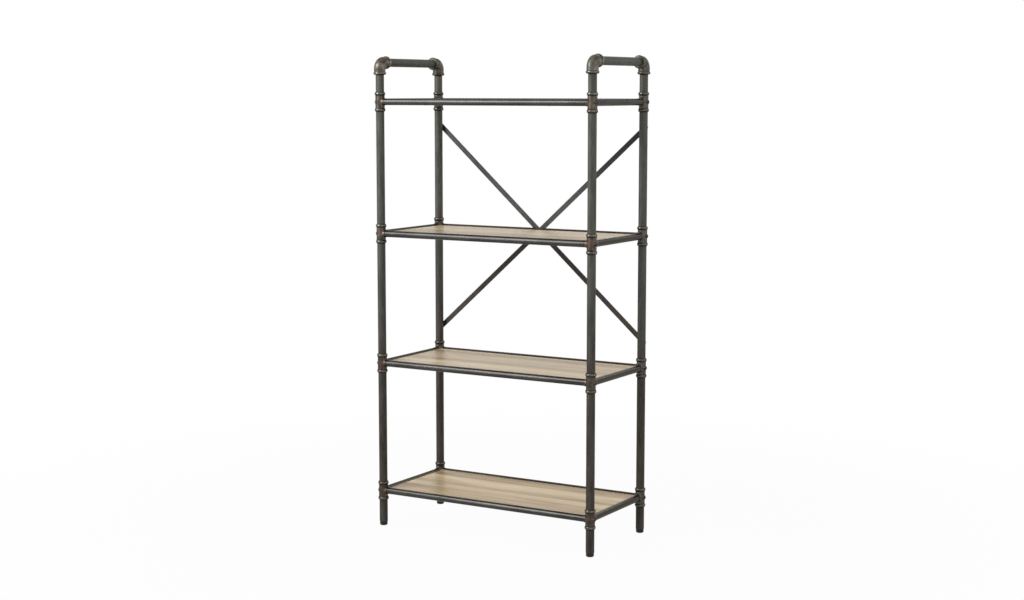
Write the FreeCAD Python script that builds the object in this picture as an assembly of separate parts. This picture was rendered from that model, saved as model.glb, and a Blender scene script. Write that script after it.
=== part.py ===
import FreeCAD, Part
import math
import os
from FreeCAD import Vector

# Open bookcase built from round pipe: four wood shelves between four posts,
# a cast tee at every shelf corner, elbowed handle loops above the top shelf
# and a crossed flat-bar brace behind the upper shelves.
# Millimetres. X is the width, Y the depth with the back at +Y, Z is up.
# The origin is on the floor under the middle of the frame.

# Layout of the frame, between the axes of its pipes
post_spacing_wide = 767.0
post_spacing_deep = 340.0
shelf_count = 4
lowest_shelf_height = 116.5
shelf_spacing = 421.0
handle_rise = 124.0

# Pipe of the posts and handles, and tube of the shelf rails
pipe_diameter = 26.7
pipe_wall = 1.6
rail_diameter = 21.3
rail_wall = 1.5

# Clearances between pieces
sleeve_clearance = 0.15
seam_clearance = 0.1
rail_end_clearance = 0.3
panel_gap = 0.5
bolt_hole_clearance = 0.3

# Cast tees, one at each corner of each shelf
tee_height = 61.5
tee_wall = 1.5
tee_bead_width = 10.5
tee_bead_rise = 2.2
tee_socket_wall = 1.0
tee_long_socket_length = 3.0
tee_long_flare_radius = 1.8
tee_end_socket_length = 9.0
tee_end_flare_radius = 8.0
tee_boss_diameter = 13.5
tee_boss_rise = 1.2

# Cast elbows at the top of the posts
elbow_wall = 4.8
elbow_throat_radius = 1.2
elbow_collar_length = 19.5
elbow_bead_width = 9.0
elbow_bead_rise = 2.4
elbow_nose_radius = 5.5
elbow_socket_depth = 14.0

# Wood shelf panels
panel_thickness = 12.0
panel_drop = 5.0
panel_edge_chamfer = 1.0

# Steel tabs welded to the rails under the panels, and their screws
tab_width = 24.0
tab_thickness = 2.5
tab_overlap = 20.0
tab_corner_radius = 6.0
long_rail_tab_shares = (-0.3, 0.3)
screw_diameter = 4.0
screw_head_diameter = 8.0
screw_head_height = 2.4
screw_bite = 8.0
screw_tip_gap = 0.5

# Share of a domed head's height that is its straight rim
head_rim_share = 0.3

# Bolts through the tees and posts into a threaded plug in each rail end
rail_bolt_diameter = 6.0
rail_bolt_head_diameter = 11.5
rail_bolt_head_height = 3.0
rail_bolt_socket_width = 5.0
rail_bolt_socket_depth = 1.8
rail_bolt_bite = 14.0
rail_plug_length = 18.0

# Cross brace of two flat bars, riveted together where they cross
brace_width = 16.0
brace_thickness = 3.0
brace_end_offset = 80.0
brace_bolt_diameter = 5.0
brace_bolt_head_diameter = 10.0
brace_bolt_head_height = 3.1
rivet_diameter = 5.0
rivet_head_diameter = 9.0
rivet_head_height = 1.7
rivet_nut_diameter = 7.0
rivet_nut_length = 9.0

# Push-in glides under the posts
glide_head_height = 13.0
glide_head_inset = 0.9
glide_foot_radius = 4.0
glide_stem_length = 22.0
glide_fin_count = 3
glide_fin_thickness = 2.0
glide_fin_depth = 1.4

# How far a cut runs past the faces that it goes through
overrun = 5.0

# Sizes that follow from those above
pipe_radius = pipe_diameter / 2
pipe_bore_radius = pipe_radius - pipe_wall
rail_radius = rail_diameter / 2
rail_bore_radius = rail_radius - rail_wall
half_width = post_spacing_wide / 2
half_depth = post_spacing_deep / 2
shelf_heights = [lowest_shelf_height + shelf_spacing * step for step in range(shelf_count)]
handle_height = shelf_heights[-1] + handle_rise

sleeve_bore_radius = pipe_radius + sleeve_clearance
tee_radius = sleeve_bore_radius + tee_wall
tee_bead_radius = tee_radius + tee_bead_rise
tee_socket_bore_radius = rail_radius + sleeve_clearance
tee_socket_radius = tee_socket_bore_radius + tee_socket_wall
tee_flare_room = tee_height / 2 - tee_bead_width - tee_socket_radius
tee_boss_reach = tee_radius + tee_boss_rise

elbow_radius = sleeve_bore_radius + elbow_wall
elbow_bend_radius = elbow_radius + elbow_throat_radius
elbow_reach = elbow_bend_radius + elbow_collar_length
elbow_stop = elbow_reach - elbow_socket_depth

panel_edge_offset = tee_socket_radius + panel_gap
panel_top_offset = rail_radius - panel_drop
panel_bottom_offset = panel_top_offset - panel_thickness
panel_length = post_spacing_wide - 2 * panel_edge_offset
panel_depth = post_spacing_deep - 2 * panel_edge_offset
tab_reach = panel_edge_offset + tab_overlap
screw_offset = panel_edge_offset + tab_overlap / 2

rail_end = pipe_radius + rail_end_clearance
rail_bolt_hole_radius = rail_bolt_diameter / 2 + bolt_hole_clearance
brace_hole_radius = brace_bolt_diameter / 2 + bolt_hole_clearance
brace_heights = (shelf_heights[-1] - brace_end_offset, shelf_heights[-3] + brace_end_offset)
brace_front = half_depth + pipe_radius + seam_clearance
brace_bow = (brace_thickness + seam_clearance) / 2

# Corners of the frame, as the signs of their X and Y
corners = {
    "front_left": (-1, -1),
    "front_right": (1, -1),
    "back_left": (-1, 1),
    "back_right": (1, 1),
}

ORIGIN = Vector(0, 0, 0)
UP = Vector(0, 0, 1)
DOWN = Vector(0, 0, -1)
BACK = Vector(0, 1, 0)
FRONT = Vector(0, -1, 0)


def cylinder(radius, length, base, direction):
    return Part.makeCylinder(radius, length, base, direction)


def tube(radius, wall, length, base, direction):
    bore_base = base - direction * overrun
    bore = cylinder(radius - wall, length + 2 * overrun, bore_base, direction)
    return cylinder(radius, length, base, direction).cut(bore)


def revolved(edges):
    """Solid of revolution about Z of a closed outline drawn in the XZ plane."""
    return Part.Face(Part.Wire(edges)).revolve(ORIGIN, UP, 360)


def placed(shape, base, direction):
    """Copy of a shape drawn about +Z at the origin, turned to a direction."""
    copy = shape.copy()
    copy.Placement = FreeCAD.Placement(base, FreeCAD.Rotation(UP, direction))
    return copy


def moved(shape, offset):
    copy = shape.copy()
    copy.translate(offset)
    return copy


def line(start, end):
    return Part.LineSegment(start, end).toShape()


def arc(start, middle, end):
    return Part.Arc(start, middle, end).toShape()


def outline(points):
    """Edges of a closed outline, given as (radius, height) pairs."""
    corners_3d = [Vector(radius, 0, height) for radius, height in points]
    following = corners_3d[1:] + corners_3d[:1]
    return [line(start, end) for start, end in zip(corners_3d, following)]


def bead(radius, rise, low, high):
    """Rounded bead edge that bulges from a radius between two heights."""
    crest = Vector(radius + rise, 0, (low + high) / 2)
    return arc(Vector(radius, 0, low), crest, Vector(radius, 0, high))


def crest_arc(crest, end):
    """Arc that leaves a crest parallel to the Z axis and falls to a point."""
    fall = crest.x - end.x
    run = end.z - crest.z
    radius = (fall ** 2 + run ** 2) / (2 * fall)
    half_turn = math.asin(abs(run) / radius) / 2
    centre = crest - Vector(radius, 0, 0)
    middle = centre + Vector(math.cos(half_turn), 0, math.copysign(math.sin(half_turn), run)) * radius
    return arc(crest, middle, end)


def post_axis(side, face):
    return Vector(side * half_width, face * half_depth, 0)


# Posts

def post(side, face):
    length = handle_height - elbow_stop - glide_head_height
    shape = tube(pipe_radius, pipe_wall, length, UP * glide_head_height, UP)
    inward = Vector(-side, 0, 0)
    span = 2 * (pipe_radius + overrun)
    for height in shelf_heights:
        start = Vector(side * span / 2, 0, height)
        shape = shape.cut(cylinder(rail_bolt_hole_radius, span, start, inward))
    if face > 0:
        for height in brace_heights:
            nut_radius = rivet_nut_diameter / 2 + seam_clearance
            shape = shape.cut(cylinder(nut_radius, span / 2, UP * height, BACK))
    return moved(shape, post_axis(side, face))


# Cast tees

def tee_sleeve():
    """Beaded sleeve of a tee, solid, about the Z axis at a shelf's height."""
    top = tee_height / 2
    bead_start = top - tee_bead_width
    edges = [
        line(Vector(0, 0, -top), Vector(tee_radius, 0, -top)),
        bead(tee_radius, tee_bead_rise, -top, -bead_start),
        line(Vector(tee_radius, 0, -bead_start), Vector(tee_radius, 0, bead_start)),
        bead(tee_radius, tee_bead_rise, bead_start, top),
        line(Vector(tee_radius, 0, top), Vector(0, 0, top)),
        line(Vector(0, 0, top), Vector(0, 0, -top)),
    ]
    return revolved(edges)


def tee_branch(direction, socket_length, flare_radius):
    """Sleeve with one rail socket, which flares into it."""
    socket = cylinder(tee_socket_radius, tee_radius + socket_length, ORIGIN, direction)
    body = tee_sleeve().fuse(socket)
    roots = [edge for edge in body.Edges if not isinstance(edge.Curve, (Part.Circle, Part.Line))]
    flare_limit = min(socket_length, tee_flare_room) - seam_clearance
    return body.makeFillet(min(flare_radius, flare_limit), roots)


def tee(side, face):
    """Tee casting with sockets for a long rail and an end rail."""
    inward = Vector(-side, 0, 0)
    along = Vector(0, -face, 0)
    outward = Vector(side, 0, 0)
    body = tee_branch(inward, tee_long_socket_length, tee_long_flare_radius)
    body = body.fuse(tee_branch(along, tee_end_socket_length, tee_end_flare_radius))
    body = body.fuse(cylinder(tee_boss_diameter / 2, tee_boss_reach, ORIGIN, outward))
    bore_base = DOWN * (tee_height / 2 + overrun)
    body = body.cut(cylinder(sleeve_bore_radius, tee_height + 2 * overrun, bore_base, UP))
    for direction, socket_length in ((inward, tee_long_socket_length), (along, tee_end_socket_length)):
        bore_length = tee_radius + socket_length + overrun
        body = body.cut(cylinder(tee_socket_bore_radius, bore_length, ORIGIN, direction))
    return body.cut(cylinder(rail_bolt_hole_radius, tee_boss_reach + overrun, ORIGIN, outward))


# Cast elbows

def elbow_collar():
    """Collar of an elbow, from the end of its bend to its rounded lip."""
    start = Vector(elbow_radius, 0, elbow_bend_radius)
    root = Vector(elbow_radius, 0, elbow_reach - elbow_bead_width)
    crest = Vector(elbow_radius + elbow_bead_rise, 0, elbow_reach - elbow_nose_radius)
    lip = Vector(crest.x - elbow_nose_radius, 0, elbow_reach)
    edges = [
        line(Vector(0, 0, elbow_bend_radius), start),
        line(start, root),
        crest_arc(crest, root),
        crest_arc(crest, lip),
        line(lip, Vector(0, 0, elbow_reach)),
        line(Vector(0, 0, elbow_reach), Vector(0, 0, elbow_bend_radius)),
    ]
    return revolved(edges)


def quarter_bend(radius, along):
    """Round bend that starts straight below the origin and leaves it sideways."""
    start = DOWN * elbow_bend_radius
    section = Part.Face(Part.Wire(Part.makeCircle(radius, start, UP)))
    return section.revolve(start + along * elbow_bend_radius, UP.cross(along), 90)


def elbow(side, face):
    """Hollow elbow casting that turns a post into the handle pipe."""
    along = Vector(0, -face, 0)
    body = quarter_bend(elbow_radius, along)
    collar = elbow_collar()
    for direction in (DOWN, along):
        body = body.fuse(placed(collar, ORIGIN, direction))
    body = body.cut(quarter_bend(pipe_bore_radius, along))
    socket_length = elbow_socket_depth + overrun
    for direction in (DOWN, along):
        passage = cylinder(pipe_bore_radius, elbow_collar_length, direction * elbow_bend_radius, direction)
        socket = cylinder(sleeve_bore_radius, socket_length, direction * elbow_stop, direction)
        body = body.cut(passage).cut(socket)
    return moved(body, post_axis(side, face) + UP * handle_height)


def handle_pipe(side):
    length = post_spacing_deep - 2 * elbow_stop
    start = Vector(side * half_width, -length / 2, handle_height)
    return tube(pipe_radius, pipe_wall, length, start, BACK)


# Shelf rails

def long_rail(face, height):
    """Rail along X, cut square at the posts."""
    length = post_spacing_wide - 2 * rail_end
    start = Vector(-length / 2, face * half_depth, height)
    return tube(rail_radius, rail_wall, length, start, Vector(1, 0, 0))


def end_rail(side, height):
    """Rail along Y, its ends coped to fit round the posts."""
    start = Vector(side * half_width, -half_depth, height)
    shape = tube(rail_radius, rail_wall, post_spacing_deep, start, BACK)
    for face in (-1, 1):
        base = post_axis(side, face) + UP * (height - rail_radius - overrun)
        saddle = cylinder(pipe_radius + seam_clearance, rail_diameter + 2 * overrun, base, UP)
        shape = shape.cut(saddle)
    return shape


# Shelf panels, their tabs and screws

def tab_places():
    """Middle of each tab's rail and the direction from the rail to the panel."""
    places = []
    for share in long_rail_tab_shares:
        for face in (-1, 1):
            places.append((Vector(share * panel_length, face * half_depth, 0), Vector(0, -face, 0)))
    for side in (-1, 1):
        places.append((Vector(side * half_width, 0, 0), Vector(-side, 0, 0)))
    return places


def shelf_panel(height):
    """Wood panel, eased at its edges and relieved round the posts."""
    corner = Vector(-panel_length / 2, -panel_depth / 2, height + panel_bottom_offset)
    shape = Part.makeBox(panel_length, panel_depth, panel_thickness, corner)
    top = height + panel_top_offset
    top_edges = [edge for edge in shape.Edges if edge.BoundBox.ZMin > top - panel_edge_chamfer]
    shape = shape.makeChamfer(panel_edge_chamfer, top_edges)
    for side, face in corners.values():
        base = post_axis(side, face) + UP * (height + panel_bottom_offset - overrun)
        relief = cylinder(tee_bead_radius + panel_gap, panel_thickness + 2 * overrun, base, UP)
        shape = shape.cut(relief)
    depth = screw_bite + screw_tip_gap
    for place, inward in tab_places():
        base = place + inward * screw_offset + UP * (height + panel_bottom_offset - overrun)
        shape = shape.cut(cylinder(screw_diameter / 2 + seam_clearance, depth + overrun, base, UP))
    return shape


def tab(place, inward, height):
    """Flat tab under a panel, hollowed at one end to seat on its rail."""
    low = height + panel_bottom_offset - tab_thickness
    across = UP.cross(inward)
    corner = across * (-tab_width / 2)
    rim = [corner, corner + inward * tab_reach, -corner + inward * tab_reach, -corner, corner]
    plate = Part.Face(Part.makePolygon(rim)).extrude(UP * tab_thickness)
    far = tab_reach - tab_corner_radius
    rounded = [
        edge for edge in plate.Edges
        if abs(edge.tangentAt(edge.FirstParameter).z) == 1 and edge.CenterOfMass.dot(inward) > far
    ]
    plate = plate.makeFillet(tab_corner_radius, rounded)
    hole = cylinder(screw_diameter / 2 + bolt_hole_clearance, tab_thickness + 2 * overrun,
                    inward * screw_offset + DOWN * overrun, UP)
    plate = moved(plate.cut(hole), place + UP * low)
    rail_start = place - across * (tab_width / 2 + overrun) + UP * height
    seat = cylinder(rail_radius + seam_clearance, tab_width + 2 * overrun, rail_start, across)
    return plate.cut(seat)


def panel_screw(place, inward, height):
    """Pan-head screw driven up through a tab into the panel."""
    seat = height + panel_bottom_offset - tab_thickness
    length = tab_thickness + screw_bite
    radius = screw_diameter / 2
    head = screw_head_diameter / 2
    edges = outline([
        (0, length), (radius - seam_clearance, length), (radius, length - radius), (radius, 0),
        (head, 0), (head, -screw_head_height / 2), (head - screw_head_height / 2, -screw_head_height),
        (0, -screw_head_height),
    ])
    return moved(revolved(edges), place + inward * screw_offset + UP * seat)


# Rail bolts and plugs

def hexagon_prism(width, length):
    """Prism about +Z with a hexagon's width across its flats."""
    radius = width / math.sqrt(3)
    turns = [math.radians(60 * corner) for corner in range(7)]
    points = [Vector(radius * math.cos(turn), radius * math.sin(turn), 0) for turn in turns]
    return Part.Face(Part.makePolygon(points)).extrude(UP * length)


def domed_head(radius, height, rim):
    """Round head above Z zero: a straight rim under a spherical crown."""
    crown = height - rim
    ball = (radius ** 2 + crown ** 2) / (2 * crown)
    half_turn = math.asin(radius / ball) / 2
    on_crown = Vector(ball * math.sin(half_turn), 0, height - ball * (1 - math.cos(half_turn)))
    edges = [
        line(Vector(0, 0, 0), Vector(radius, 0, 0)),
        line(Vector(radius, 0, 0), Vector(radius, 0, rim)),
        arc(Vector(radius, 0, rim), on_crown, Vector(0, 0, height)),
        line(Vector(0, 0, height), Vector(0, 0, 0)),
    ]
    return revolved(edges)


def rail_bolt(side, face, height):
    """Socket-head bolt from the outer side of a tee into a rail."""
    rim = rail_bolt_head_height * head_rim_share
    head = domed_head(rail_bolt_head_diameter / 2, rail_bolt_head_height, rim)
    recess = hexagon_prism(rail_bolt_socket_width, rail_bolt_socket_depth + overrun)
    head = head.cut(moved(recess, UP * (rail_bolt_head_height - rail_bolt_socket_depth)))
    length = tee_boss_reach + rail_end + rail_bolt_bite
    bolt = head.fuse(cylinder(rail_bolt_diameter / 2, length, ORIGIN, DOWN))
    seat = post_axis(side, face) + Vector(side * tee_boss_reach, 0, height)
    return placed(bolt, seat, Vector(side, 0, 0))


def rail_plug(side, face, height):
    """Threaded plug fixed inside the end of a long rail."""
    inward = Vector(-side, 0, 0)
    start = post_axis(side, face) + Vector(-side * rail_end, 0, height)
    radius = rail_bore_radius - seam_clearance
    hole_radius = rail_bolt_diameter / 2 + seam_clearance
    return tube(radius, radius - hole_radius, rail_plug_length, start, inward)


# Cross brace

def brace_bar(rise_sign, bow_sign):
    """Flat bar, seated flat at its rounded ends and bowed past its partner between them."""
    rise = brace_heights[0] - brace_heights[1]
    span = math.hypot(post_spacing_wide, rise)
    reach = span / 2 + brace_width / 2
    pad = span / 2 - brace_width / 2
    front_line = [(-reach, 0), (-pad, 0), (0, bow_sign * brace_bow), (pad, 0), (reach, 0)]
    rear_line = [(place, depth + brace_thickness) for place, depth in reversed(front_line)]
    points = [Vector(place, depth, 0) for place, depth in front_line + rear_line + front_line[:1]]
    side_view = Part.makePolygon(points)
    bar = moved(Part.Face(side_view).extrude(UP * brace_width), DOWN * (brace_width / 2))
    depth_start = FRONT * overrun
    depth = brace_thickness + 2 * overrun
    blank = Part.makeBox(span, depth, brace_width, Vector(-span / 2, -overrun, -brace_width / 2))
    for end in (-1, 1):
        end_point = Vector(end * span / 2, 0, 0) + depth_start
        blank = blank.fuse(cylinder(brace_width / 2, depth, end_point, BACK))
    bar = bar.common(blank)
    for place, radius in ((-span / 2, brace_hole_radius), (span / 2, brace_hole_radius),
                          (0, rivet_diameter / 2 + seam_clearance)):
        bar = bar.cut(cylinder(radius, depth, Vector(place, 0, 0) + depth_start, BACK))
    slope = math.degrees(math.atan2(rise, post_spacing_wide))
    bar.rotate(ORIGIN, FRONT, rise_sign * slope)
    middle = sum(brace_heights) / 2
    return moved(bar, Vector(0, brace_front, middle))


def brace_bolt(side, height):
    """Domed bolt from behind a brace bar into the post."""
    rim = brace_bolt_head_height * head_rim_share
    head = domed_head(brace_bolt_head_diameter / 2, brace_bolt_head_height, rim)
    length = brace_thickness + pipe_wall + rivet_nut_length / 2
    bolt = head.fuse(cylinder(brace_bolt_diameter / 2, length, ORIGIN, DOWN))
    seat = Vector(side * half_width, brace_front + brace_thickness, height)
    return placed(bolt, seat, BACK)


def brace_rivet():
    """Rivet through both bars, domed behind and flush in front."""
    stack = brace_thickness + 2 * brace_bow
    head = domed_head(rivet_head_diameter / 2, rivet_head_height, rivet_head_height * head_rim_share)
    rivet = head.fuse(cylinder(rivet_diameter / 2, stack, ORIGIN, DOWN))
    seat = Vector(0, brace_front + brace_thickness + brace_bow, sum(brace_heights) / 2)
    return placed(rivet, seat, BACK)


def rivet_nut(side, height):
    """Threaded sleeve set in a back post's rear wall for a brace bolt."""
    hole_radius = brace_bolt_diameter / 2 + seam_clearance
    wall = rivet_nut_diameter / 2 - hole_radius
    face = Vector(side * half_width, half_depth + pipe_radius, height)
    return tube(rivet_nut_diameter / 2, wall, rivet_nut_length, face, FRONT)


# Glides

def glide():
    """Push-in glide: a rounded foot and a finned stem inside the post."""
    head = pipe_radius - glide_head_inset
    fin = pipe_bore_radius - seam_clearance
    core = fin - glide_fin_depth
    top = glide_head_height + glide_stem_length
    foot = head - glide_foot_radius
    bulge = glide_foot_radius * (1 - math.sqrt(0.5))
    edges = [
        line(Vector(0, 0, 0), Vector(foot, 0, 0)),
        arc(Vector(foot, 0, 0), Vector(head - bulge, 0, bulge), Vector(head, 0, glide_foot_radius)),
        line(Vector(head, 0, glide_foot_radius), Vector(head, 0, glide_head_height)),
        line(Vector(head, 0, glide_head_height), Vector(core, 0, glide_head_height)),
        line(Vector(core, 0, glide_head_height), Vector(core, 0, top)),
        line(Vector(core, 0, top), Vector(0, 0, top)),
        line(Vector(0, 0, top), Vector(0, 0, 0)),
    ]
    shape = revolved(edges)
    pitch = glide_stem_length / glide_fin_count
    for number in range(glide_fin_count):
        base = UP * (glide_head_height + pitch * (number + 1) - glide_fin_thickness)
        shape = shape.fuse(cylinder(fin, glide_fin_thickness, base, UP))
    return shape


# The finished pieces, each written to a file of its own

def export(name, shape):
    shape.exportStep("parts/" + name + ".step")


def export_corners():
    for name, (side, face) in corners.items():
        export("post_" + name, post(side, face))
        export("elbow_" + name, elbow(side, face))
        export("glide_" + name, moved(glide(), post_axis(side, face)))
        casting = tee(side, face)
        for level, height in enumerate(shelf_heights, 1):
            export("tee_%s_%d" % (name, level), moved(casting, post_axis(side, face) + UP * height))


def export_shelves():
    for level, height in enumerate(shelf_heights, 1):
        export("front_rail_%d" % level, long_rail(-1, height))
        export("back_rail_%d" % level, long_rail(1, height))
        export("left_end_rail_%d" % level, end_rail(-1, height))
        export("right_end_rail_%d" % level, end_rail(1, height))
        export("shelf_panel_%d" % level, shelf_panel(height))


def export_handles():
    export("handle_pipe_left", handle_pipe(-1))
    export("handle_pipe_right", handle_pipe(1))


def export_brace():
    export("brace_bar_rear", brace_bar(1, 1))
    export("brace_bar_front", brace_bar(-1, -1))
    bolt_places = [(side, height) for side in (-1, 1) for height in brace_heights]
    bolts = [brace_bolt(side, height) for side, height in bolt_places]
    export("brace_bolts", Part.makeCompound(bolts + [brace_rivet()]))
    export("brace_rivet_nuts", Part.makeCompound([rivet_nut(side, height) for side, height in bolt_places]))


def export_fasteners():
    tabs = []
    screws = []
    bolts = []
    plugs = []
    for height in shelf_heights:
        for place, inward in tab_places():
            tabs.append(tab(place, inward, height))
            screws.append(panel_screw(place, inward, height))
        for side, face in corners.values():
            bolts.append(rail_bolt(side, face, height))
            plugs.append(rail_plug(side, face, height))
    export("panel_tabs", Part.makeCompound(tabs))
    export("panel_screws", Part.makeCompound(screws))
    export("rail_bolts", Part.makeCompound(bolts))
    export("rail_plugs", Part.makeCompound(plugs))


os.makedirs("parts", exist_ok=True)
export_corners()
export_shelves()
export_handles()
export_brace()
export_fasteners()
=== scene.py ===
import math
import bpy
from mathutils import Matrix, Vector


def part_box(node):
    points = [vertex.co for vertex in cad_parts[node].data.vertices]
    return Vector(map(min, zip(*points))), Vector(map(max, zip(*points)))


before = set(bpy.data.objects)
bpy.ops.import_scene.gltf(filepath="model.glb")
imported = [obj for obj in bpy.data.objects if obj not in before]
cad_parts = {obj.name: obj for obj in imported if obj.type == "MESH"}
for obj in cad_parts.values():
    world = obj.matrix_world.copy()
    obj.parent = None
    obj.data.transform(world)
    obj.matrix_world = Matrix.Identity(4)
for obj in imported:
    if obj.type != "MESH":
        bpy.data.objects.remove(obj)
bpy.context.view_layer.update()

# Metres, watts and degrees. X is the width, Y the depth with the back at +Y, Z is up.

# Camera, at the place from which the picture was taken; its lens and sensor are in millimetres
CAMERA_PLACE = (2.8145, -4.7209, 1.4132)
CAMERA_TURN = 30.758
CAMERA_DIP = 6.891
CAMERA_LENS = 60.76
SENSOR_WIDTH = 36.0

# Lamps: name, place, width and height, power
LAMPS = (
    ("key", (-1.6, -2.3, 2.5), (1.6, 1.6), 76.0),
    ("left_strip", (-1.9, -3.3, 1.3), (0.25, 2.2), 17.0),
    ("right_fill", (2.7, -1.2, 1.4), (0.3, 2.0), 8.0),
    ("right_strip", (2.94, 1.13, 1.4), (0.2, 2.4), 12.0),
    ("back_low", (0.3, 2.9, 1.9), (2.0, 0.5), 8.0),
)
LAMP_TARGET = (0.0, 0.0, 0.75)

# Level of the soft light round the object, its fall from left to right, and the white behind
WORLD_LIGHT = 0.46
WORLD_FALL = 0.16
BACKGROUND = (1.0, 1.0, 1.0, 1.0)

# Floor disc, whose own white takes over from its shadows towards the rim
FLOOR_RADIUS = 9.0
FLOOR_SIDES = 96
SHADOW_REACH = (0.9, 2.6)
FLOOR_GLOW = 0.97
FLOOR_COLOUR = (0.45, 0.45, 0.45, 1.0)

# Places taken from the frame
post_low, post_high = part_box("post_front_left")
half_width = -(post_low.x + post_high.x) / 2
half_depth = -(post_low.y + post_high.y) / 2
tee_low, tee_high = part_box("tee_front_left_1")
tee_half_height = (tee_high.z - tee_low.z) / 2
lowest_level = (tee_high.z + tee_low.z) / 2
next_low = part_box("tee_front_left_2")[0]
level_spacing = next_low.z - tee_low.z
elbow_low, elbow_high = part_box("elbow_front_left")
handle_low, handle_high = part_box("handle_pipe_left")
handle_level = (handle_low.z + handle_high.z) / 2
handle_start = elbow_high.y + half_depth
panel_low, panel_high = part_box("shelf_panel_1")
panel_depth = panel_high.y - panel_low.y

# Beads of the castings: width, rise above the casting's side, the rise from which they are
# rubbed, and on the elbows the width over which the rubbing ends at a bead's foot
TEE_BEAD_WIDTH = 0.0105
TEE_BEAD_RISE = 0.0022
TEE_RUBBED_RISE = 0.0009
ELBOW_BEAD_WIDTH = 0.009
ELBOW_BEAD_RISE = 0.0024
ELBOW_RUBBED_RISE = 0.0012
ELBOW_RUBBED_EDGE = 0.001

# Bands of painted shade under the crests of the beads: how far their middles lie from the casting's
# end, and how wide they are
TEE_UPPER_BAND = TEE_BEAD_WIDTH * 0.85
TEE_LOWER_BAND = TEE_BEAD_WIDTH * 0.1
TEE_BAND_WIDTH = TEE_BEAD_WIDTH * 0.8
ELBOW_LOWER_BAND = ELBOW_BEAD_WIDTH * 0.05
ELBOW_BAND_WIDTH = ELBOW_BEAD_WIDTH * 0.9

# Radii of the castings' bead crests, out of which the radii of their sides follow
tee_crest_radius = -half_width - tee_low.x
tee_radius = tee_crest_radius - TEE_BEAD_RISE
elbow_crest_radius = -half_width - elbow_low.x
elbow_radius = elbow_crest_radius - ELBOW_BEAD_RISE

# Width of the dark line of painted shade and dirt in the corner where a casting meets a pipe or a bead,
# and the heights about a shelf's level between which the line on the pipe gets fainter
SHADE_AND_DIRT_WIDTH = 0.0022
SHADE_AND_DIRT_FADE = (-0.01, 0.01)

# Heights between which a finish or its painted shade changes
POST_SHADE_AND_BROWNING = (1.05, 0.35)
RAIL_SHADE_AND_BROWNING = (1.3, 1.0)
RAIL_DULLING = (0.3, 0.9)
CASTING_GREYING = (0.9, 1.35)
CASTING_DARKENING = (1.1, 0.1)
BRACE_BROWNING = (1.0, 0.88)
WOOD_PALING = (0.25, 0.6)

# Places in depth or width between which a finish or its painted light and shade changes; those of the end
# rails are offsets from the axes of the posts
END_RAIL_OFFSET = (-0.03, -0.015)
BACK_RAIL_DEPTH = (0.13, 0.15)
CASTING_BACK_PAINTED_LIGHT_DEPTH = (-0.1, 0.1)
RUBBED_SHADE_DEPTH = (0.0, 0.12)
BRACE_SHADE_WIDTH = (0.15, 0.25)

# Depth of the fine relief of each surface
PIPE_RELIEF = 0.00015
CASTING_RELIEF = 0.0004
BRACE_RELIEF = 0.0002
GLIDE_RELIEF = 0.0001
WOOD_RELIEF = 0.0002

# Shade of the metals' sheen at a flat angle
EDGE_TINT = (0.62, 0.62, 0.58, 1.0)
RAIL_TINT = (0.61, 0.60, 0.585, 1.0)

# Staves of the wood panels, from the front edge to the back one, and the share of the
# depth by which each shelf's staves are moved
STAVE_EDGE_SHARES = (0.0, 0.17, 0.31, 0.45, 0.58, 0.80)
STAVE_TONE_SHARES = (0.30, 0.16, 0.92, 0.50, 0.84, 0.22)
STAVE_LENGTH = 0.31
SHELF_SHIFT_SHARE = 1.37

# Waves of the wood's grain in one metre along X, Y and Z, from the coarsest to the finest
STREAK_WAVES = (1.8, 24.0, 24.0)
FIGURE_WAVES = (5.0, 110.0, 110.0)
FIBRE_WAVES = (24.0, 900.0, 900.0)
PORE_WAVES = (70.0, 1500.0, 1500.0)
PIN_KNOT_WAVES = (3.4, 9.0, 5.0)
PIN_KNOT_SHIFT = (0.13, 0.05, 0.0)

# Random draws of the wood: third coordinate of a strip's cell, the most by which the staves
# of a strip are moved, in stave lengths, and the most by which their grain is moved
STRIP_SEED = 3.7
STAVE_STAGGER = 5.0
GRAIN_SPREAD = (9.0, 9.0, 9.0)

# Dark knot-shaped patches on the wood panels, a painted reflection of the back left post: x, y, and half
# of their length and width
KNOT_SHAPED_REFLECTIONS = ((-0.260, -0.027, 0.036, 0.014), (-0.340, 0.120, 0.055, 0.022), (-0.215, -0.120, 0.026, 0.010))


def srgb(red, green, blue):
    """Linear colour of a screen colour given from 0 to 255."""
    def linear(value):
        share = value / 255
        return share / 12.92 if share <= 0.04045 else ((share + 0.055) / 1.055) ** 2.4
    return (linear(red), linear(green), linear(blue), 1.0)


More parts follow.
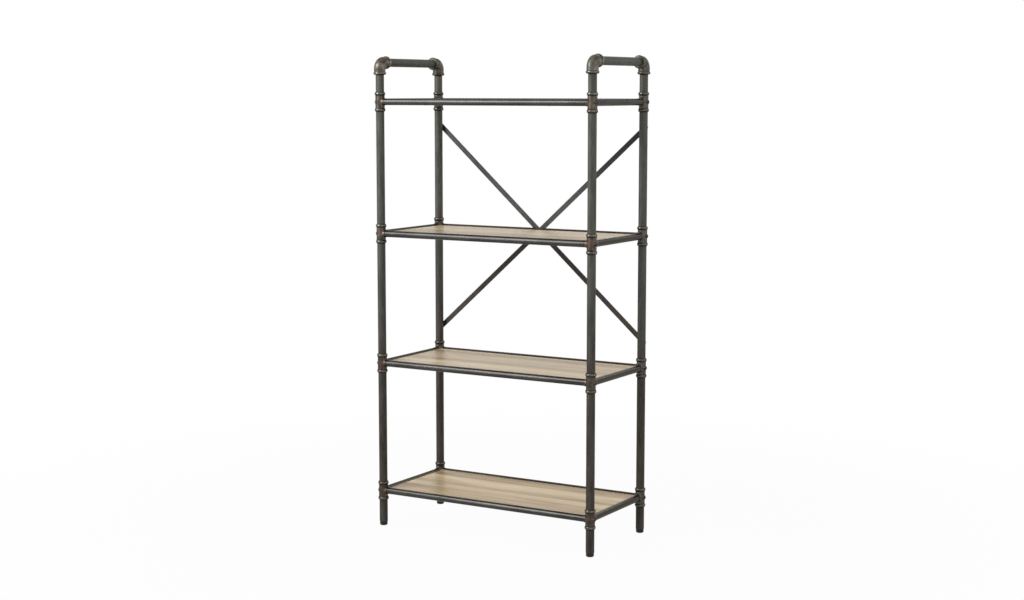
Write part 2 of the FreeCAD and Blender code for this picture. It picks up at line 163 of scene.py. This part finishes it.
class Graph:
    """Short calls that build one material's nodes."""

    def __init__(self, tree):
        self.tree = tree
        self.tree.nodes.clear()

    def node(self, kind, inputs=None, **settings):
        """New node with its settings, and its inputs set or linked."""
        made = self.tree.nodes.new("ShaderNode" + kind)
        for name, value in settings.items():
            setattr(made, name, value)
        for key, value in (inputs or {}).items():
            self.feed(made.inputs[key], value)
        return made

    def feed(self, socket, value):
        if isinstance(value, bpy.types.NodeSocket):
            self.tree.links.new(value, socket)
        else:
            socket.default_value = value

    def math(self, operation, *values):
        return self.node("Math", dict(enumerate(values)), operation=operation).outputs[0]

    def add(self, *values):
        return self.math("ADD", *values)

    def take(self, *values):
        return self.math("SUBTRACT", *values)

    def times(self, *values):
        return self.math("MULTIPLY", *values)

    def divide(self, *values):
        return self.math("DIVIDE", *values)

    def magnitude(self, value):
        return self.math("ABSOLUTE", value)

    def most(self, *values):
        """Largest of the values."""
        largest = values[0]
        for value in values[1:]:
            largest = self.math("MAXIMUM", largest, value)
        return largest

    def length(self, x, y):
        return self.math("SQRT", self.add(self.times(x, x), self.times(y, y)))

    def smooth(self, value, low, high, start=0.0, end=1.0):
        """Smooth step of a value from low to high, given out from start to end."""
        inputs = {"Value": value, "From Min": low, "From Max": high, "To Min": start, "To Max": end}
        return self.node("MapRange", inputs, interpolation_type="SMOOTHSTEP").outputs[0]

    def ridge(self, value, middle, width):
        """1 where the value is the middle, falling to 0 at half a width away."""
        return self.smooth(self.magnitude(self.take(value, middle)), width / 2, 0.0)

    def mix(self, share, first, second):
        inputs = {0: share, 6: first, 7: second}
        return self.node("Mix", inputs, data_type="RGBA").outputs[2]

    def mottle(self, cloud, dark, light, contrast=0.2):
        """Two colours mixed by a noise whose middle is 0.5."""
        return self.mix(self.smooth(cloud, 0.5 - contrast, 0.5 + contrast), dark, light)

    def ramp(self, value, stops, steps="LINEAR"):
        """Colour ramp through (position, colour) stops."""
        made = self.node("ValToRGB", {0: value})
        made.color_ramp.interpolation = steps
        elements = made.color_ramp.elements
        while len(elements) < len(stops):
            elements.new(0.5)
        for element, (position, colour) in zip(elements, stops):
            element.position = position
            element.color = colour
        return made.outputs[0]

    def place(self):
        return self.node("TexCoord").outputs["Object"]

    def split(self, vector):
        return self.node("SeparateXYZ", {0: vector}).outputs[0:3]

    def join(self, x, y, z):
        return self.node("CombineXYZ", {0: x, 1: y, 2: z}).outputs[0]

    def stretch(self, vector, factors):
        return self.node("VectorMath", {0: vector, 1: factors}, operation="MULTIPLY").outputs[0]

    def shift(self, vector, offset):
        return self.node("VectorMath", {0: vector, 1: offset}, operation="ADD").outputs[0]

    def noise(self, vector, scale, detail=4.0, roughness=0.55, distortion=0.0):
        inputs = {"Vector": vector, "Scale": scale, "Detail": detail, "Roughness": roughness,
                  "Distortion": distortion}
        return self.node("TexNoise", inputs).outputs[0]

    def draw(self, x, y, z):
        """Random value and colour drawn for a cell."""
        drawn = self.node("TexWhiteNoise", {"Vector": self.join(x, y, z)})
        return drawn.outputs["Value"], drawn.outputs["Color"]

    def bump(self, height, depth, strength):
        inputs = {"Height": height, "Distance": depth, "Strength": strength}
        return self.node("Bump", inputs).outputs[0]

    def surface(self, inputs):
        shader = self.node("BsdfPrincipled", inputs)
        self.node("OutputMaterial", {0: shader.outputs[0]})


def new_graph(name):
    material = bpy.data.materials.new(name)
    material.use_nodes = True
    return material, Graph(material.node_tree)


def post_offset(g, place):
    """Offset of a place from the nearest post's axis in X and Y, and its height."""
    x, y, height = g.split(place)
    return g.take(g.magnitude(x), half_width), g.take(g.magnitude(y), half_depth), height


def from_level(g, height):
    """Height above the nearest shelf's level, below 0 under it."""
    wrapped = g.math("WRAP", height, lowest_level + level_spacing / 2, lowest_level - level_spacing / 2)
    return g.take(wrapped, lowest_level)


def fitting_shade_and_dirt(g, place):
    """Mask of the dark line of painted shade and dirt on a pipe where it enters a tee or an elbow."""
    across, along, height = post_offset(g, place)
    rise = from_level(g, height)
    at_tee = g.ridge(g.magnitude(rise), tee_half_height + SHADE_AND_DIRT_WIDTH / 3, SHADE_AND_DIRT_WIDTH * 2)
    at_tee = g.times(at_tee, g.smooth(rise, *SHADE_AND_DIRT_FADE, 1.0, 0.5))
    at_elbow = g.ridge(height, elbow_low.z - SHADE_AND_DIRT_WIDTH / 3, SHADE_AND_DIRT_WIDTH * 2)
    at_handle = g.times(g.ridge(along, -handle_start, SHADE_AND_DIRT_WIDTH * 2), 0.25)
    return g.most(at_tee, at_elbow, at_handle)


def tee_masks(g, place):
    """Masks of a tee's rubbed crests, and of painted shade with dirt at the foot of its beads and painted
    shade under their crests.
    """
    across, along, height = post_offset(g, place)
    rise = from_level(g, height)
    reach = g.magnitude(rise)
    on_bead = g.smooth(reach, tee_half_height - TEE_BEAD_WIDTH, tee_half_height - TEE_BEAD_WIDTH / 2)
    rubbed = g.smooth(g.length(across, along), tee_radius + TEE_RUBBED_RISE, tee_crest_radius)
    foot = g.ridge(reach, tee_half_height - TEE_BEAD_WIDTH, SHADE_AND_DIRT_WIDTH * 1.5)
    under_upper = g.ridge(rise, tee_half_height - TEE_UPPER_BAND, TEE_BAND_WIDTH)
    under_lower = g.ridge(rise, TEE_LOWER_BAND - tee_half_height, TEE_BAND_WIDTH)
    return g.times(on_bead, rubbed), g.most(foot, under_upper, under_lower)


def elbow_masks(g, place):
    """Masks of an elbow's rubbed crests, and of painted shade with dirt at the foot of its beads and
    painted shade under their crests.
    """
    across, along, height = post_offset(g, place)
    drop = g.take(height, handle_level)

    def rubbed(offset, reach, foot):
        on_crest = g.smooth(offset, elbow_radius + ELBOW_RUBBED_RISE, elbow_crest_radius)
        return g.times(on_crest, g.smooth(reach, foot + ELBOW_RUBBED_EDGE, foot))

    post_end = elbow_low.z - handle_level
    post_foot = post_end + ELBOW_BEAD_WIDTH
    pipe_foot = ELBOW_BEAD_WIDTH - handle_start
    post_side = rubbed(g.length(across, along), drop, post_foot)
    pipe_side = rubbed(g.length(across, drop), along, pipe_foot)
    post_foot_shade_and_dirt = g.times(g.ridge(drop, post_foot, SHADE_AND_DIRT_WIDTH * 1.5), 0.5)
    under_crest = g.ridge(drop, post_end + ELBOW_LOWER_BAND, ELBOW_BAND_WIDTH)
    pipe_foot_shade_and_dirt = g.times(g.ridge(along, pipe_foot, SHADE_AND_DIRT_WIDTH * 1.5), 0.3)
    return g.most(post_side, pipe_side), g.most(post_foot_shade_and_dirt, under_crest, pipe_foot_shade_and_dirt)


def pipe_metal():
    """Gunmetal lacquer of the posts and handles, mottled, with painted shade that makes it darker and
    browner towards the floor, and a dark line of painted shade and dirt where a pipe enters a casting.
    """
    material, g = new_graph("pipe_metal")
    place = g.place()
    height = g.split(place)[2]
    cloud = g.noise(g.stretch(place, (1.0, 1.0, 0.22)), 60.0, 5.0, 0.62)
    speck = g.noise(place, 800.0, 3.0, 0.6)
    upper = g.mottle(cloud, srgb(70, 70, 66), srgb(91, 91, 86))
    lower = g.mottle(cloud, srgb(55, 51, 47), srgb(77, 72, 66))
    # Painted shade: darker and browner towards the floor, standing in for the light that falls off lower
    # down
    colour = g.mix(g.smooth(height, *POST_SHADE_AND_BROWNING), upper, lower)
    # Painted shade with dirt: a dark line on the pipe where it enters a tee or an elbow
    colour = g.mix(g.times(fitting_shade_and_dirt(g, place), 0.75), colour, srgb(22, 20, 18))
    g.surface({
        "Base Color": colour,
        "Metallic": 0.35,
        "Roughness": g.smooth(cloud, 0.25, 0.75, 0.44, 0.56),
        "Specular IOR Level": 0.2,
        "Specular Tint": EDGE_TINT,
        "Normal": g.bump(speck, PIPE_RELIEF, 0.3),
    })
    return material


def rail_metal():
    """Smoother gunmetal lacquer of the shelf rails, with painted shade that makes the lower rails and most
    of all the end rails darker and browner, and browner at the back.
    """
    material, g = new_graph("rail_metal")
    place = g.place()
    y, height = g.split(place)[1:3]
    across = post_offset(g, place)[0]
    cloud = g.noise(place, 14.0, 2.0, 0.4)
    upper = g.mottle(cloud, srgb(57, 57, 55), srgb(68, 68, 66))
    lower = g.mottle(cloud, srgb(55, 54, 52), srgb(66, 65, 62))
    # Painted shade: the lower rails are a little darker and browner
    colour = g.mix(g.smooth(height, *RAIL_SHADE_AND_BROWNING), upper, lower)
    # Painted shade: the end rails are darker and browner, more so below the top shelf
    end_rail_shade_and_brown = g.times(g.smooth(across, *END_RAIL_OFFSET), g.smooth(height, *RAIL_SHADE_AND_BROWNING, 0.4, 1.0))
    colour = g.mix(end_rail_shade_and_brown, colour, srgb(58, 54, 46))
    colour = g.mix(g.smooth(y, *BACK_RAIL_DEPTH), colour, srgb(69, 62, 55))
    dulling = g.smooth(height, *RAIL_DULLING, 0.0, 0.025)
    g.surface({
        "Base Color": colour,
        "Metallic": 0.75,
        "Roughness": g.add(g.smooth(cloud, 0.25, 0.75, 0.21, 0.26), dulling),
        "Specular Tint": RAIL_TINT,
    })
    return material


def casting_metal(name, masks, dark, light, back, rust, roughness):
    """Cast fitting with a rubbed brown patina, with painted shade lower down and painted light and shade
    at the back of the shelf.

    masks gives the rubbed crests of a place and its painted shade with dirt at the beads' feet and under
    their crests, dark and light are the colours of the patina, back is the colour of painted light and
    shade that the castings take at the back of the shelf, rust is the share of red and roughness is the
    least one, away from the rubbed crests.
    """
    material, g = new_graph(name)
    place = g.place()
    y, height = g.split(place)[1:3]
    cloud = g.noise(place, 56.0, 5.0, 0.6)
    patch = g.noise(g.shift(place, (3.0, 7.0, 1.0)), 28.0, 3.0, 0.5)
    grain = g.noise(place, 420.0, 4.0, 0.65)
    colour = g.mottle(cloud, dark, light, 0.18)
    redness = g.times(g.smooth(patch, 0.48, 0.62), g.smooth(height, *CASTING_GREYING, rust, rust / 4))
    colour = g.mix(redness, colour, srgb(88, 67, 58))
    greyness = g.times(g.smooth(patch, 0.48, 0.36), g.smooth(height, *CASTING_GREYING, 0.25, 0.8))
    colour = g.mix(greyness, colour, srgb(84, 84, 79))
    # Painted shade: the castings get darker and browner towards the floor
    colour = g.mix(g.smooth(height, *CASTING_DARKENING, 0.0, 0.4), colour, srgb(50, 38, 32))
    # Painted light and shade: the castings at the back of the shelf take the back tone, darker on the
    # elbows and greyer on the tees
    colour = g.mix(g.smooth(y, *CASTING_BACK_PAINTED_LIGHT_DEPTH, 0.0, 0.55), colour, back)
    worn, shade_and_dirt = masks(g, place)
    rubbed = g.times(worn, g.smooth(grain, 0.36, 0.62, 0.0, 0.42))
    # Painted shade: the rubbed crests are dimmer towards the back of the shelf
    rubbed = g.times(rubbed, g.smooth(y, *RUBBED_SHADE_DEPTH, 1.0, 0.35))
    colour = g.mix(rubbed, colour, srgb(150, 149, 143))
    # Painted shade with dirt at the feet of the beads, and painted shade under their crests
    colour = g.mix(g.times(shade_and_dirt, 0.85), colour, srgb(22, 19, 17))
    dullness = g.smooth(grain, 0.3, 0.7, roughness, roughness + 0.12)
    g.surface({
        "Base Color": colour,
        "Metallic": 0.7,
        "Roughness": g.take(dullness, g.times(worn, 0.14)),
        "Specular Tint": EDGE_TINT,
        "Normal": g.bump(grain, CASTING_RELIEF, 0.35),
    })
    return material


def brace_paint():
    """Satin grey paint of the brace bars, browner below where they cross, with painted shade that makes
    the upper bars darker at the right.
    """
    material, g = new_graph("brace_paint")
    place = g.place()
    x, height = g.split(place)[0::2]
    cloud = g.noise(place, 60.0, 4.0, 0.55)
    upper = g.mottle(cloud, srgb(68, 68, 66), srgb(82, 82, 80))
    # Painted shade: the upper bars get darker towards the right
    upper = g.mix(g.smooth(x, *BRACE_SHADE_WIDTH), upper, srgb(46, 46, 46))
    lower = g.mottle(cloud, srgb(58, 54, 51), srgb(72, 67, 63))
    g.surface({
        "Base Color": g.mix(g.smooth(height, *BRACE_BROWNING), upper, lower),
        "Metallic": 0.2,
        "Roughness": 0.6,
        "Specular IOR Level": 0.3,
        "Normal": g.bump(g.noise(place, 700.0, 3.0), BRACE_RELIEF, 0.3),
    })
    return material


def fastener_metal(name, scale, dark, light, metallic, roughness_range):
    """Metal of small fasteners, speckled between two colours."""
    material, g = new_graph(name)
    cloud = g.noise(g.place(), scale, 4.0, 0.6)
    g.surface({
        "Base Color": g.mottle(cloud, dark, light, 0.15),
        "Metallic": metallic,
        "Roughness": g.smooth(cloud, 0.3, 0.7, *roughness_range),
    })
    return material


def glide_plastic():
    """Black moulded plastic of the glides."""
    material, g = new_graph("black_plastic")
    cloud = g.noise(g.place(), 500.0, 3.0, 0.6)
    g.surface({
        "Base Color": g.mix(cloud, srgb(12, 11, 10), srgb(22, 20, 19)),
        "Roughness": g.smooth(cloud, 0.3, 0.7, 0.42, 0.6),
        "Specular IOR Level": 0.3,
        "Normal": g.bump(cloud, GLIDE_RELIEF, 0.3),
    })
    return material


def stave_rows(g, y, z):
    """Tone of the stave row at a place, from 0 to 1, and the number of its shelf."""
    shelf = g.math("FLOOR", g.divide(z, level_spacing))
    share = g.divide(g.add(y, panel_depth / 2), panel_depth)
    share = g.math("PINGPONG", g.add(share, g.times(shelf, SHELF_SHIFT_SHARE)), 1.0)
    tones = [(edge, (tone, tone, tone, 1.0)) for edge, tone in zip(STAVE_EDGE_SHARES, STAVE_TONE_SHARES)]
    return g.split(g.ramp(share, tones, "CONSTANT"))[0], shelf


def pin_knots(g, place, figure):
    """Mask of the small knots, whose outline follows the figure."""
    cells = g.node("TexVoronoi", {"Vector": g.stretch(g.shift(place, PIN_KNOT_SHIFT), PIN_KNOT_WAVES),
                                  "Scale": 1.0})
    near = g.smooth(g.add(cells.outputs["Distance"], g.times(figure, 0.10)), 0.20, 0.07)
    picked = g.smooth(g.split(cells.outputs["Color"])[0], 0.55, 0.60)
    return g.times(near, picked)


def knot_shaped_reflections(g, x, y, figure):
    """Mask of the knot-shaped patches of painted reflection, whose outline follows the figure."""
    masks = []
    for knot_x, knot_y, half_long, half_wide in KNOT_SHAPED_REFLECTIONS:
        along = g.divide(g.take(x, knot_x), half_long)
        across = g.divide(g.take(y, knot_y), half_wide)
        masks.append(g.smooth(g.add(g.length(along, across), figure), 1.7, 0.8))
    return g.most(*masks)


def oak_veneer():
    """Limed oak staves that run along the shelf, with a soft sheen."""
    material, g = new_graph("limed_oak")
    place = g.place()
    x, y, z = g.split(place)
    row, shelf = stave_rows(g, y, z)
    strip_value, strip_colour = g.draw(row, shelf, STRIP_SEED)
    along = g.add(g.divide(x, STAVE_LENGTH), g.times(strip_value, STAVE_STAGGER))
    stave_value, stave_colour = g.draw(g.math("FLOOR", along), row, shelf)
    in_strip = g.shift(place, g.stretch(strip_colour, GRAIN_SPREAD))
    in_stave = g.shift(place, g.stretch(stave_colour, GRAIN_SPREAD))
    streak = g.noise(g.stretch(in_strip, STREAK_WAVES), 1.0, 4.0, 0.5, 0.4)
    figure = g.noise(g.stretch(in_stave, FIGURE_WAVES), 1.0, 3.0, 0.5, 0.6)
    fibre = g.noise(g.stretch(in_stave, FIBRE_WAVES), 1.0, 3.0, 0.6)
    pore = g.smooth(g.noise(g.stretch(in_stave, PORE_WAVES), 1.0, 2.0, 0.5), 0.60, 0.72)
    tone = g.add(g.times(row, 0.52), g.times(stave_value, 0.09))
    tone = g.add(tone, g.smooth(streak, 0.25, 0.75, -0.14, 0.34))
    tone = g.add(tone, g.smooth(figure, 0.25, 0.75, -0.12, 0.12))
    colour = g.ramp(tone, [
        (0.02, srgb(156, 130, 93)),
        (0.32, srgb(183, 159, 119)),
        (0.62, srgb(210, 188, 149)),
        (0.92, srgb(229, 211, 176)),
    ])
    green, blue = g.split(stave_colour)[1:3]
    colour = g.mix(g.smooth(green, 0.6, 0.95, 0.0, 0.2), colour, srgb(204, 174, 152))
    colour = g.mix(g.smooth(blue, 0.6, 0.95, 0.0, 0.2), colour, srgb(188, 182, 156))
    colour = g.mix(g.smooth(z, *WOOD_PALING, 0.0, 0.15), colour, srgb(212, 205, 196))
    colour = g.mix(g.times(pin_knots(g, place, figure), 0.45), colour, srgb(138, 108, 78))
    # Painted reflection of the back left post, drawn as dark knot-shaped patches at the same places on
    # every shelf
    colour = g.mix(g.times(knot_shaped_reflections(g, x, y, figure), 0.42), colour, srgb(112, 92, 70))
    colour = g.mix(g.smooth(fibre, 0.35, 0.7, 0.0, 0.20), colour, srgb(150, 128, 100))
    colour = g.mix(g.times(pore, 0.30), colour, srgb(118, 98, 74))
    g.surface({
        "Base Color": colour,
        "Roughness": g.smooth(fibre, 0.3, 0.7, 0.30, 0.42),
        "Specular IOR Level": 0.25,
        "Normal": g.bump(g.take(fibre, g.times(pore, 0.8)), WOOD_RELIEF, 0.4),
    })
    return material


def paint_nodes():
    """Gives each piece of the frame its finish."""
    finishes = {
        "post_finish": pipe_metal(),
        "rail_finish": rail_metal(),
        "brace_finish": brace_paint(),
        "bolt_finish": fastener_metal("bolt_metal", 260.0, srgb(42, 38, 34), srgb(70, 62, 55),
                                      0.8, (0.28, 0.42)),
        "plain_steel": fastener_metal("zinc_steel", 320.0, srgb(96, 96, 94), srgb(124, 124, 120),
                                      0.85, (0.34, 0.5)),
        "oak_panel": oak_veneer(),
        "glide_plastic": glide_plastic(),
    }
    tee_finish = casting_metal("tee_casting", tee_masks, srgb(46, 42, 37), srgb(98, 91, 81),
                               srgb(78, 77, 71), rust=0.75, roughness=0.26)
    elbow_finish = casting_metal("elbow_casting", elbow_masks, srgb(62, 58, 52), srgb(120, 114, 104),
                                 srgb(56, 54, 49), rust=0.5, roughness=0.34)
    for name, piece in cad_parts.items():
        for slot in piece.material_slots:
            if slot.material.name.startswith("fitting_finish"):
                slot.material = elbow_finish if name.startswith("elbow") else tee_finish
            else:
                slot.material = finishes[slot.material.name.split(".")[0]]


def background_ray(g):
    """1 for a ray that sees the backdrop itself, directly or in a reflection."""
    ray = g.node("LightPath").outputs
    return g.most(ray["Is Camera Ray"], ray["Is Glossy Ray"], ray["Is Transmission Ray"])


def build_world():
    """White backdrop that lights the object at a plain level."""
    world = bpy.data.worlds.new("studio")
    bpy.context.scene.world = world
    world.use_nodes = True
    g = Graph(world.node_tree)
    rightward = g.split(g.node("TexCoord").outputs["Generated"])[0]
    soft = g.take(WORLD_LIGHT, g.times(rightward, WORLD_FALL))
    seen = background_ray(g)
    strength = g.add(seen, g.times(soft, g.take(1.0, seen)))
    shader = g.node("Background", {"Color": BACKGROUND, "Strength": strength})
    g.node("OutputWorld", {0: shader.outputs[0]})


def floor_material():
    """Floor that shows the object's shadow near it and is plain white farther out."""
    material, g = new_graph("pale_floor")
    x, y = g.split(g.place())[0:2]
    spread = g.smooth(g.length(x, y), *SHADOW_REACH, FLOOR_GLOW, 1.0)
    matte = g.node("BsdfDiffuse", {"Color": FLOOR_COLOUR})
    glow = g.node("Emission", {"Color": BACKGROUND, "Strength": 1.0})
    share = g.times(background_ray(g), spread)
    mixed = g.node("MixShader", {0: share, 1: matte.outputs[0], 2: glow.outputs[0]})
    g.node("OutputMaterial", {0: mixed.outputs[0]})
    return material


def build_floor():
    turns = [2 * math.pi * side / FLOOR_SIDES for side in range(FLOOR_SIDES)]
    rim = [(FLOOR_RADIUS * math.cos(turn), FLOOR_RADIUS * math.sin(turn), 0.0) for turn in turns]
    mesh = bpy.data.meshes.new("floor")
    mesh.from_pydata(rim, [], [list(range(FLOOR_SIDES))])
    mesh.materials.append(floor_material())
    floor = bpy.data.objects.new("floor", mesh)
    bpy.context.scene.collection.objects.link(floor)


def build_lamp(name, place, size, power):
    """Rectangular lamp that faces the middle of the object and isn't seen itself."""
    light = bpy.data.lights.new(name, "AREA")
    light.shape = "RECTANGLE"
    light.size, light.size_y = size
    light.energy = power
    lamp = bpy.data.objects.new(name, light)
    lamp.location = place
    lamp.rotation_euler = (Vector(LAMP_TARGET) - Vector(place)).to_track_quat("-Z", "Y").to_euler()
    lamp.visible_camera = False
    bpy.context.scene.collection.objects.link(lamp)


def build_camera():
    data = bpy.data.cameras.new("camera")
    data.lens = CAMERA_LENS
    data.sensor_width = SENSOR_WIDTH
    data.sensor_fit = "HORIZONTAL"
    camera = bpy.data.objects.new("camera", data)
    camera.location = CAMERA_PLACE
    camera.rotation_euler = (math.radians(90 - CAMERA_DIP), 0.0, math.radians(CAMERA_TURN))
    bpy.context.scene.collection.objects.link(camera)
    bpy.context.scene.camera = camera


build_camera()
build_world()
build_floor()
for lamp in LAMPS:
    build_lamp(*lamp)
paint_nodes()
bpy.context.scene.view_settings.view_transform = "Standard"
